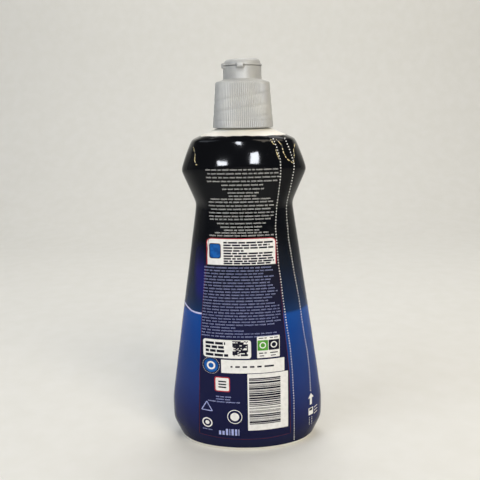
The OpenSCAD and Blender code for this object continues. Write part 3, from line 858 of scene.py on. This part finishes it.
# distances and heights of the two perforated tear lines, and the marks at their foot
tearLines = {
    "spacing": 1.62, "start": 0.4, "dot": 0.34, "uneven": (0.9, 1.1), "dotSteps": 6,
    "inner": [(15.9, 182.6), (18.0, 177.3), (19.7, 171), (20.0, 165.5), (19.6, 159.4), (18.8, 152.7),
              (17.8, 145.4), (17.0, 133.7), (17.6, 126), (18.6, 112), (19.8, 103.9), (20.8, 94.5),
              (22.0, 85.5), (23.0, 77), (24.4, 68.5), (25.3, 61.2), (26.4, 48.2), (27.3, 29.4), (27.6, 3.4)],
    "outer": [(22.3, 182.6), (24.3, 178), (26.1, 173.2), (27.7, 167.7), (27.2, 163.3), (26.0, 156.5),
              (24.5, 149.6), (23.6, 144), (23.7, 137.8), (24.7, 125.8), (25.8, 119), (28.1, 105.1),
              (30.6, 91.6), (32.4, 78.8), (34.2, 66.8), (35.9, 57.7), (37.4, 44.3), (38.0, 31.7)],
    # arrow: middle, foot and tip, then half width of its shaft, height, half width and slope of its head
    "arrow": (38.2, 23.4, 30.6), "shaft": 0.65, "head": 3, "headHalf": 1.7, "headDrop": 2.95,
    "headReach": 1.75, "headStep": 0.3,
    # tab: middle, height, half width and height, then the inset of its dark field from each edge
    "tab": (38.2, 19.0, 1.5, 4.6), "fieldIn": 0.5, "fieldUp": 0.5, "fieldDown": 0.4,
    # strokes beside the tab: how many, height, pitch, both ends and width
    "strokes": 3, "strokeUp": 1.6, "strokePitch": 2.0, "strokeEnds": ((2.2, -0.3), (4.4, 0.4)),
    "strokeWide": 0.4,
    # dots under the tab: how many, pitch, the first of each column, and radius
    "footDots": 5, "footPitch": 1.1, "footFrom": ((-0.9, -4), (0.7, -4.3)), "footR": 0.24,
}


def printTearLines():
    white, fineStep, headStep = inks["white"], laying["fineStep"], tearLines["headStep"]
    for name in ("inner", "outer"):
        route = np.array(tearLines[name])
        walked = np.concatenate([[0], np.cumsum(np.hypot(*(route[1:] - route[:-1]).T))])
        for d in np.arange(tearLines["start"], walked[-1], tearLines["spacing"]):
            x, z = (float(np.interp(d, walked, route[:, k])) for k in (0, 1))
            r = tearLines["dot"] * rng.uniform(*tearLines["uneven"])
            white.disc(x, z, r, "first", tearLines["dotSteps"])

    x, low, high = tearLines["arrow"]
    shaft, head, headHalf = tearLines["shaft"], tearLines["head"], tearLines["headHalf"]
    white.patch(x - shaft, x + shaft, low, high - head, "first", fineStep)

    def headEdge(v):
        return high - tearLines["headDrop"] * abs(v - x) / tearLines["headReach"]

    white.patch(x - headHalf, x + headHalf, high - head, headEdge, "first", headStep)

    x, z, wide, tall = tearLines["tab"]
    fieldHalf, fieldTop = wide - tearLines["fieldIn"], z + tall / 2 - tearLines["fieldDown"]
    white.patch(x - wide, x + wide, z - tall / 2, z + tall / 2, "first", fineStep)
    inks["dark"].patch(x - fieldHalf, x + fieldHalf, z + tearLines["fieldUp"], fieldTop, "second", fineStep)
    for k in range(tearLines["strokes"]):
        lineZ = z + tearLines["strokeUp"] - tearLines["strokePitch"] * k
        ends = [(x + across, lineZ + up) for across, up in tearLines["strokeEnds"]]
        white.line(ends, tearLines["strokeWide"], "first", headStep)
    for k in range(tearLines["footDots"]):
        for across, up in tearLines["footFrom"]:
            dotZ = z + up - tearLines["footPitch"] * k
            white.disc(x + across, dotZ, tearLines["footR"], "first", tearLines["dotSteps"])


# Puckers of the film beside the tear lines and at the far corner

creases = {
    "routes": [[(-27.7, 178.4), (-27.1, 176.8), (-26.6, 174.2), (-27.0, 171.4), (-26.3, 168.8),
                (-25.0, 169.0)],
               [(14.7, 182.0), (15.7, 180.1), (16.8, 179.0)],
               [(17.7, 182.1), (20.6, 178.8), (21.6, 174.6), (23.3, 171.4), (26.7, 169.0)],
               [(28.4, 179.1), (27.4, 175.9), (27.7, 173.2), (27.2, 169.2)],
               [(17.4, 176.5), (18.2, 173.8), (19.4, 170.6)]],
    # the pale gold colour is a painted glint, the warm lamps' reflection on the folds
    "wide": 0.46, "high": 0.15, "dark": "#121216", "paintedGlint": "#ecdca4", "patch": 1.1, "rough": (0.12, 0.3),
}


def creaseMaterial():
    # shrink film pinched double along the fold: dark film with broken patches of pale gold, which are painted
    # glints standing for the warm lamps' reflection on the folds
    material, tree, shader = newMaterial("petgFilmPuckerPaintedGlint")
    shader.inputs["IOR"].default_value = 1.5
    place = addNode(tree, "ShaderNodeTexCoord").outputs["Object"]
    glintPatches = addNode(tree, "ShaderNodeTexNoise", {"Scale": patternScale(creases["patch"]), "Detail": 2.0},
                      {"Vector": place})
    ramp = addNode(tree, "ShaderNodeValToRGB", None, {"Fac": glintPatches.outputs["Fac"]})
    # dark film, broken by patches of pale gold painted glint
    setRamp(ramp, [(0.47, linear(creases["dark"])), (0.54, linear(creases["paintedGlint"]))])
    tree.links.new(ramp.outputs["Color"], shader.inputs["Base Color"])
    smoothest, roughest = creases["rough"]
    rough = addNode(tree, "ShaderNodeMapRange", {3: smoothest, 4: roughest}, {0: glintPatches.outputs["Fac"]})
    tree.links.new(rough.outputs[0], shader.inputs["Roughness"])
    return material


def makeCreases():
    puckers = Ink("film_creases")
    for route in creases["routes"]:
        puckers.bead(route, creases["wide"], creases["high"])
    puckers.lay(creaseMaterial())


# Ribbed screw cap, its spout and nozzle, in one moulding

cap = {
    "ribs": 90, "perRib": 6, "ribDepth": 0.3, "ribPower": 2.2, "sharp": 34,
    "low": 188.1, "high": 212.3, "lowR": 17.1, "topR": 15.1,
    # skirt: height, share of the ribs and draw inward at its hem, then its ribbed levels, then its brow
    "hem": ((188.1, 0, 0.25), (188.2, 0.4, 0.08), (188.45, 1, 0)), "levels": (189, 211.9, 0.5),
    "brow": ((212.4, 0.9, 0), (212.7, 0.6, 0.05)),
    # radius and height from the skirt in to the spout
    "shoulder": ((14.6, 212.95), (14.3, 213.12), (13.7, 213.3), (12.8, 213.55), (11.7, 213.9), (10.95, 214.2),
                 (10.72, 214.45)),
    # height and share of the bulge under the hinge straps
    "spoutR": 10.65, "spout": ((215.5, 0), (217.5, 0), (219.5, 0), (219.8, 0.12), (220.1, 0.42), (220.4, 0.8),
                               (220.7, 1), (221.0, 0.95)),
    # radius and depth below the spout's top
    "spoutTop": 221.3, "rim": ((10.5, 0.08), (10.3, 0), (9.7, 0), (9.5, 0.1), (9.45, 0.35)),
    # radius and height above the dish, up to the nozzle's foot
    "dish": 219.9, "dishFloor": ((9.42, 0.3), (9.1, 0), (6, 0), (3.4, 0), (3.1, 0.2), (3.0, 0.6)),
    # radius and depth below the nozzle's top, over its edge and into the orifice
    "nozzleTop": 222.5, "nozzle": ((2.9, 0.4), (2.75, 0.1), (2.5, 0), (2.05, 0), (1.85, 0.12), (1.8, 0.5)),
    # radius and depth below the dish, along the dish's under side and into the duct
    "underDish": ((1.8, 1.2), (5, 1.2), (9.2, 1.2), (9.45, 1.5)), "duct": (9.45, 214),
    # radius and depth below the deck, round the seal ring and out to the bore
    "deck": 209.8,
    "seal": ((9.45, 2.8), (9.6, 3.0), (10.4, 3.0), (10.65, 2.7), (10.65, 0), (12.5, 0), (14.2, 0)),
    # radius and height down the bore to the hem
    "bore": ((14.2, 204), (14.2, 198), (14.2, 192.0), (15.6, 190.5), (15.6, 188.3), (15.75, 188.1)),
    # bands where the wall sank over the thread inside: depth, width, lead and the heights they fade at
    "sink": 0.2, "sinkWide": 0.85, "sinkLead": 12.0, "sinkStart": 189.8, "sinkFrom": 192.5, "sinkTo": 209.5,
    "sinkFade": 2, "bandUp": 3.9, "bandWide": 0.45, "bandShare": 0.6,
    # colours, sizes of the mica specks and of the melt's flow, and range of roughness
    "silver": "#bcbcb8", "shade": "#adaeae", "mica": 0.4, "micaShare": 0.35, "flow": 8.33,
    "rough": (0.42, 0.54),
}
hinge = {
    # direction of the hinge and its distance from the axis, and the angles that each strap spans from it
    "direction": math.radians(-128), "out": 11.5, "from": math.radians(21), "to": math.radians(42),
    "soft": math.radians(6), "outerR": 11.9,
}


def strapShare(t):
    # 1 where a hinge strap stands, 0 elsewhere, with soft flanks
    d = np.abs((t - hinge["direction"] + math.pi) % (2 * math.pi) - math.pi)
    soft = hinge["soft"]
    return smooth((d - hinge["from"]) / soft + 0.5) * smooth((hinge["to"] - d) / soft + 0.5)


def sinkMarks(t, z):
    # shallow bands where the wall shrank over the thread inside
    lead, fade = cap["sinkLead"], cap["sinkFade"]
    pitch = lead / bottle["threadStarts"]
    u = (z - cap["sinkStart"] - lead * t / (2 * math.pi) + pitch / 2) % pitch - pitch / 2
    helix = np.exp(-(u / cap["sinkWide"]) ** 2)
    helix = helix * smooth((z - cap["sinkFrom"]) / fade) * smooth((cap["sinkTo"] - z) / fade)
    band = np.exp(-((z - cap["low"] - cap["bandUp"]) / cap["bandWide"]) ** 2)
    return cap["sink"] * (helix + cap["bandShare"] * band)


def silverMaterial():
    # moulded polypropylene with fine mica: satin grey with a soft metallic bloom
    material, tree, shader = newMaterial("polypropyleneMicaSilver")
    shader.inputs["Metallic"].default_value = 0.1
    shader.inputs["Specular IOR Level"].default_value = 0.35
    shader.inputs["IOR"].default_value = 1.49
    place = addNode(tree, "ShaderNodeTexCoord").outputs["Object"]
    # mica specks are about 0.05 mm, drawn coarser so that they show; the melt's flow clouds them
    mica = addNode(tree, "ShaderNodeTexNoise", {"Scale": patternScale(cap["mica"]), "Detail": 1.0},
                   {"Vector": place})
    flow = addNode(tree, "ShaderNodeTexNoise", {"Scale": patternScale(cap["flow"]), "Detail": 3.0},
                   {"Vector": place})
    blend = addNode(tree, "ShaderNodeMath", {"operation": "MULTIPLY_ADD", 1: cap["micaShare"]},
                    {0: mica.outputs["Fac"], 2: flow.outputs["Fac"]})
    ramp = addNode(tree, "ShaderNodeValToRGB", None, {"Fac": blend.outputs[0]})
    setRamp(ramp, [(0.45, linear(cap["shade"])), (0.85, linear(cap["silver"]))])
    tree.links.new(ramp.outputs["Color"], shader.inputs["Base Color"])
    smoothest, roughest = cap["rough"]
    rough = addNode(tree, "ShaderNodeMapRange", {3: smoothest, 4: roughest}, {0: flow.outputs["Fac"]})
    tree.links.new(rough.outputs[0], shader.inputs["Roughness"])
    bump = addNode(tree, "ShaderNodeBump", {"Strength": 0.06, "Distance": 0.0001},
                   {"Height": mica.outputs["Fac"]})
    tree.links.new(bump.outputs["Normal"], shader.inputs["Normal"])
    return material


def makeCap(material):
    t = np.linspace(0, 2 * math.pi, cap["ribs"] * cap["perRib"], endpoint=False)
    circle = np.stack([np.cos(t), np.sin(t), 0 * t], -1)
    # broad ribs with narrow grooves
    rib = 1 - (0.5 + 0.5 * np.cos(t * cap["ribs"])) ** cap["ribPower"]

    def hoop(r, z):
        return circle * np.reshape(np.broadcast_to(r, t.shape), (-1, 1)) + [0, 0, z]

    def skirt(z, ribShare, drawn):
        r = cap["lowR"] + (cap["topR"] - cap["lowR"]) * (z - cap["low"]) / (cap["high"] - cap["low"])
        return hoop(r - drawn - cap["ribDepth"] * (1 - rib * ribShare) - sinkMarks(t, z), z)

    # outside, from the hem up over the spout's rim
    rings = [skirt(*row) for row in cap["hem"]]
    rings += [skirt(z, 1, 0) for z in np.arange(*cap["levels"])]
    rings += [skirt(*row) for row in cap["brow"]]
    rings += [hoop(r, z) for r, z in cap["shoulder"]]
    bulge = strapShare(t) * (hinge["outerR"] - cap["spoutR"])
    rings += [hoop(cap["spoutR"] + bulge * share, z) for z, share in cap["spout"]]
    rings += [hoop(r, cap["spoutTop"] - down) for r, down in cap["rim"]]

    # dish, nozzle and orifice, then the inside down to the hem
    rings += [hoop(r, cap["dish"] + up) for r, up in cap["dishFloor"]]
    rings += [hoop(r, cap["nozzleTop"] - down) for r, down in cap["nozzle"]]
    rings += [hoop(r, cap["dish"] - down) for r, down in cap["underDish"]]
    rings += [hoop(*cap["duct"])]
    rings += [hoop(r, cap["deck"] - down) for r, down in cap["seal"]]
    rings += [hoop(r, z) for r, z in cap["bore"]]
    return turnedPiece("screw_cap_moulding", rings, material, None, cap["sharp"])


lid = {
    "around": 240, "sharp": 36, "low": 221.5, "wallR": 10.1, "height": 3.8, "edgeR": 2.8,
    # the top falls towards the hinge by this slope, in degrees, and the tilt fades in over tiltRise
    "slope": 2.5, "tiltRise": 1.6, "crown": 0.15, "crownR": 7.3, "topRadii": (1.5, 4, 6.2), "roundStep": 10,
    "lipHalf": 6.0, "lipArm": 12, "lipSoft": 1.6, "lipOut": 1.1,
    # root of the flange: fillet, height, and shares of the straps' bulge and of the lip
    "flangeR": 10.95, "flangeT": 0.9, "fillet": 0.12, "rootUp": 0.02, "rootShares": (0.9, 0.2),
    # distance out from flangeR and height, down the flange's edge
    "flangeEdge": ((-0.15, 0.9), (0, 0.75), (0, 0.15), (-0.12, 0)),
    # radius and height from the flange in over the cavity's ceiling and down the plug
    "inside": ((9.3, 0), (9.0, 0.2), (8.9, 1.0), (8.4, 2.2), (7.6, 2.65), (5.5, 2.7), (2.1, 2.7), (1.75, 2.5),
               (1.62, 1.6), (1.55, 0.4), (1.5, -0.3), (1.25, -0.6)),
    "plugTip": 0.62,
}


def makeLid(material):
    t = np.linspace(-math.pi, math.pi, lid["around"], endpoint=False)
    circle = np.stack([np.cos(t), np.sin(t), 0 * t], -1)
    toHinge = np.cos(t - hinge["direction"])
    turn = (t - hinge["direction"]) % (2 * math.pi) - math.pi    # zero at the thumb lip
    lip = smooth((lid["lipHalf"] - np.abs(np.sin(turn)) * lid["lipArm"]) / lid["lipSoft"])
    lip = lid["lipOut"] * lip * (np.cos(turn) > 0)
    bulge = strapShare(t) * (hinge["outerR"] - lid["flangeR"])
    low, slope = lid["low"], math.tan(math.radians(lid["slope"]))

    def hoop(r, up, tilt=0.0, push=0.0):
        r = np.broadcast_to(r + push, t.shape)
        ring = circle * np.reshape(r, (-1, 1))
        ring[:, 2] = low + up - r * toHinge * slope * tilt
        return ring

    edge, wallR, high, crown, flat = (lid[key] for key in ("edgeR", "wallR", "height", "crown", "flangeT"))
    rings = [hoop(r, high + crown * (1 - (r / lid["crownR"]) ** 2), 1) for r in lid["topRadii"]]
    for a in range(90, -1, -lid["roundStep"]):
        c, s = math.cos(math.radians(a)), math.sin(math.radians(a))
        up = high - edge * (1 - s)
        rings.append(hoop(wallR - edge * (1 - c), up, min(1, (up - flat) / lid["tiltRise"])))
    fillet, (bulgeShare, lipShare) = lid["fillet"], lid["rootShares"]
    rings += [hoop(wallR, flat + fillet)]
    rings += [hoop(wallR + fillet, flat + lid["rootUp"], 0, bulge * bulgeShare + lip * lipShare)]
    rings += [hoop(lid["flangeR"] + out, up, 0, bulge + lip) for out, up in lid["flangeEdge"]]
    rings += [hoop(r, up) for r, up in lid["inside"]]
    rings.reverse()     # from the plug up, so that the faces look outward
    ends = [(0, 0, low - lid["plugTip"]), (0, 0, low + high + crown)]
    return turnedPiece("flip_lid_moulding", rings, material, ends, lid["sharp"])


strapShape = {
    "columns": 9, "rows": 17, "low": 220.2, "high": 222.8, "margin": math.radians(2), "sharp": 50,
    # thickness, its share at the hinge line, and how fast it grows away from there
    "thick": 0.4, "thinnest": 0.55, "growth": 1.5,
    # how far the strap sinks under hinge outerR, how much its middle bulges, and the part of an arch it spans
    "sunk": 0.3, "bulge": 0.42, "arch": (0.1, 0.8),
}


def makeStrap(name, side, material):
    # a thin band, thinnest at the hinge line, that joins the spout's root to the lid's
    s = strapShape
    start, stop = hinge["from"] + s["margin"], hinge["to"] - s["margin"]
    columns, rows = s["columns"], s["rows"]
    archFrom, archSpan = s["arch"]
    points, faces = [], []
    for face in (0, 1):
        for j in range(rows):
            v = j / (rows - 1)
            z = s["low"] + v * (s["high"] - s["low"])
            thick = s["thick"] * (s["thinnest"] + (1 - s["thinnest"]) * abs(2 * v - 1) ** s["growth"])
            for i in range(columns):
                u = i / (columns - 1)
                d = hinge["direction"] + side * (start + (stop - start) * u)
                rounded = math.sin(math.pi * v) ** 0.5 * math.sin(math.pi * (archFrom + archSpan * u)) ** 0.5
                r = hinge["outerR"] - s["sunk"] + s["bulge"] * rounded - (thick if face else 0)
                points.append((r * math.cos(d), r * math.sin(d), z))
    count = columns * rows
    for j in range(rows - 1):
        for i in range(columns - 1):
            a = j * columns + i
            faces += [(a, a + 1, a + columns + 1, a + columns),
                      (count + a, count + a + columns, count + a + columns + 1, count + a + 1)]
    edge = list(range(columns)) + [j * columns + columns - 1 for j in range(1, rows)]
    edge += [(rows - 1) * columns + i for i in range(columns - 2, -1, -1)]
    edge += [j * columns for j in range(rows - 2, 0, -1)]
    faces += [(b, a, a + count, b + count) for a, b in zip(edge, edge[1:] + edge[:1])]
    if side < 0:
        faces = [tuple(reversed(f)) for f in faces]
    return makeMesh(name, points, faces, material, s["sharp"])


# Build

hdpe, film, silver = hdpeMaterial(), filmMaterial(), silverMaterial()
shell = makeBottle(hdpe)
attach(shell, "bottle_body")
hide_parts("bottle")
print("bottle and neck made")

skin = makeSleeve(film)
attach(skin, "bottle_body")
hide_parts("shrink_sleeve")
print("sleeve made")

printUpperRows()
printWhiteBox()
printLowerRows()
printSquareBox()
printPairBox()
printDiscAndStrip()
printTileAndBars()
printSmallMarks()
printPanelLine()
printGlowLine()
printTearLines()
for name, (colour, tint) in inkColours.items():
    inks[name].lay(inkMaterial("printInk_" + name, colour, tint))
makeCreases()
print("print and creases laid on the sleeve")

moulding = makeCap(silver)
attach(moulding, "cap_body")
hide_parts("screw_cap")
top = makeLid(silver)
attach(top, "lid_body")
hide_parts("flip_lid")
for label, side in (("left", -1), ("right", 1)):
    strap = makeStrap("hinge_strap_" + label, side, silver)
    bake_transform(strap)
print("cap, lid and straps made")


# Stage, camera and light: metres

stage = {
    # paper sweep: near and far edge, half width, radius of the bend, height and steps of the bend
    "floorY": (-1.2, 0.9), "halfWidth": 1.6, "bend": 0.35, "height": 1.7, "bendSteps": 16, "sharp": 60,
    "colour": "#e2e1dc", "fleck": "#dfded8", "fleckSize": 16.7,
    "world": 0.34, "sky": "#f1f1f0",
    # camera: place, and degrees down and of roll
    "lens": 45.0, "sensor": 36.0, "near": 0.01, "camera": (-0.00286, -0.345, 0.197), "pitch": 12.1,
    "roll": 1.0,
}
# name: place, width and height, watts and colour
softboxes = {
    "keySoftbox": ((0.55, -0.8, 0.95), (0.6, 0.6), 8.0, "#fff3e0"),
    "fillSoftbox": ((-0.75, -0.5, 0.9), (0.6, 0.6), 4.0, "#e8f1ff"),
    "topSoftbox": ((0.1, 0.35, 1.1), (0.8, 0.5), 5.0, "#ffffff"),
}
glintLamps = {
    "glintRight": ((0.5, -2.3, 0.64), (0.36, 0.42), 42.0, "#f4f8ff"),
    "glintLeft": ((-0.92, -2.22, 0.46), (0.44, 0.19), 24.0, "#f4f8ff"),
    "glintTop": ((-0.19, -2.12, 1.28), (0.24, 0.32), 21.0, "#f4f8ff"),
}
bottleMiddle, shoulderFront = (0, 0, 0.11), (0, -0.02, 0.174)


def makeStage():
    # matt paper, floor and backdrop as one sweep with a faint fleck
    material, tree, shader = newMaterial("paperSweep")
    shader.inputs["Roughness"].default_value = 0.75
    place = addNode(tree, "ShaderNodeTexCoord").outputs["Object"]
    fleck = addNode(tree, "ShaderNodeTexNoise", {"Scale": patternScale(stage["fleckSize"]), "Detail": 3.0},
                    {"Vector": place})
    ramp = addNode(tree, "ShaderNodeValToRGB", None, {"Fac": fleck.outputs["Fac"]})
    setRamp(ramp, [(0.35, linear(stage["fleck"])), (0.7, linear(stage["colour"]))])
    tree.links.new(ramp.outputs["Color"], shader.inputs["Base Color"])
    near, far = stage["floorY"]
    bend, high, steps, wide = stage["bend"], stage["height"], stage["bendSteps"], stage["halfWidth"]
    profile = [(near, 0.0), (far - bend, 0.0)]
    profile += [(far - bend + bend * math.sin(a), bend - bend * math.cos(a))
                for a in [math.pi / 2 * i / steps for i in range(1, steps + 1)]]
    profile += [(far, high)]
    points = [(x / mm, y / mm, z / mm) for y, z in profile for x in (-wide, wide)]
    faces = [(2 * i, 2 * i + 1, 2 * i + 3, 2 * i + 2) for i in range(len(profile) - 1)]
    sweep = makeMesh("paper_sweep", points, faces, material, stage["sharp"])


def areaLamp(name, target, glintOnly, place, size, power, colour):
    # a glint lamp shows in glossy surfaces and adds no other light
    lamp = bpy.data.lights.new(name, "AREA")
    lamp.shape, lamp.size, lamp.size_y = "RECTANGLE", size[0], size[1]
    lamp.energy = power
    lamp.color = linear(colour)[:3]
    holder = bpy.data.objects.new(name, lamp)
    bpy.context.scene.collection.objects.link(holder)
    holder.location = place
    holder.visible_camera = False
    holder.visible_diffuse = not glintOnly
    holder.rotation_euler = (Vector(target) - Vector(place)).to_track_quat("-Z", "Y").to_euler()


makeStage()
world = bpy.data.worlds.new("studio")
bpy.context.scene.world = world
world.use_nodes = True
sky = world.node_tree.nodes["Background"]
sky.inputs["Color"].default_value = linear(stage["sky"])
sky.inputs["Strength"].default_value = stage["world"]
for name, row in softboxes.items():
    areaLamp(name, bottleMiddle, False, *row)
for name, row in glintLamps.items():
    areaLamp(name, shoulderFront, True, *row)

camera = bpy.data.cameras.new("camera")
camera.lens, camera.sensor_width = stage["lens"], stage["sensor"]
camera.clip_start = stage["near"]
cameraHolder = bpy.data.objects.new("camera", camera)
bpy.context.scene.collection.objects.link(cameraHolder)
cameraHolder.matrix_world = (Matrix.Translation(stage["camera"])
                             @ Matrix.Rotation(math.radians(90 - stage["pitch"]), 4, "X")
                             @ Matrix.Rotation(math.radians(-stage["roll"]), 4, "Z"))
bpy.context.scene.camera = cameraHolder
bpy.context.scene.view_settings.view_transform = "Standard"
print("stage, camera and lamps set")
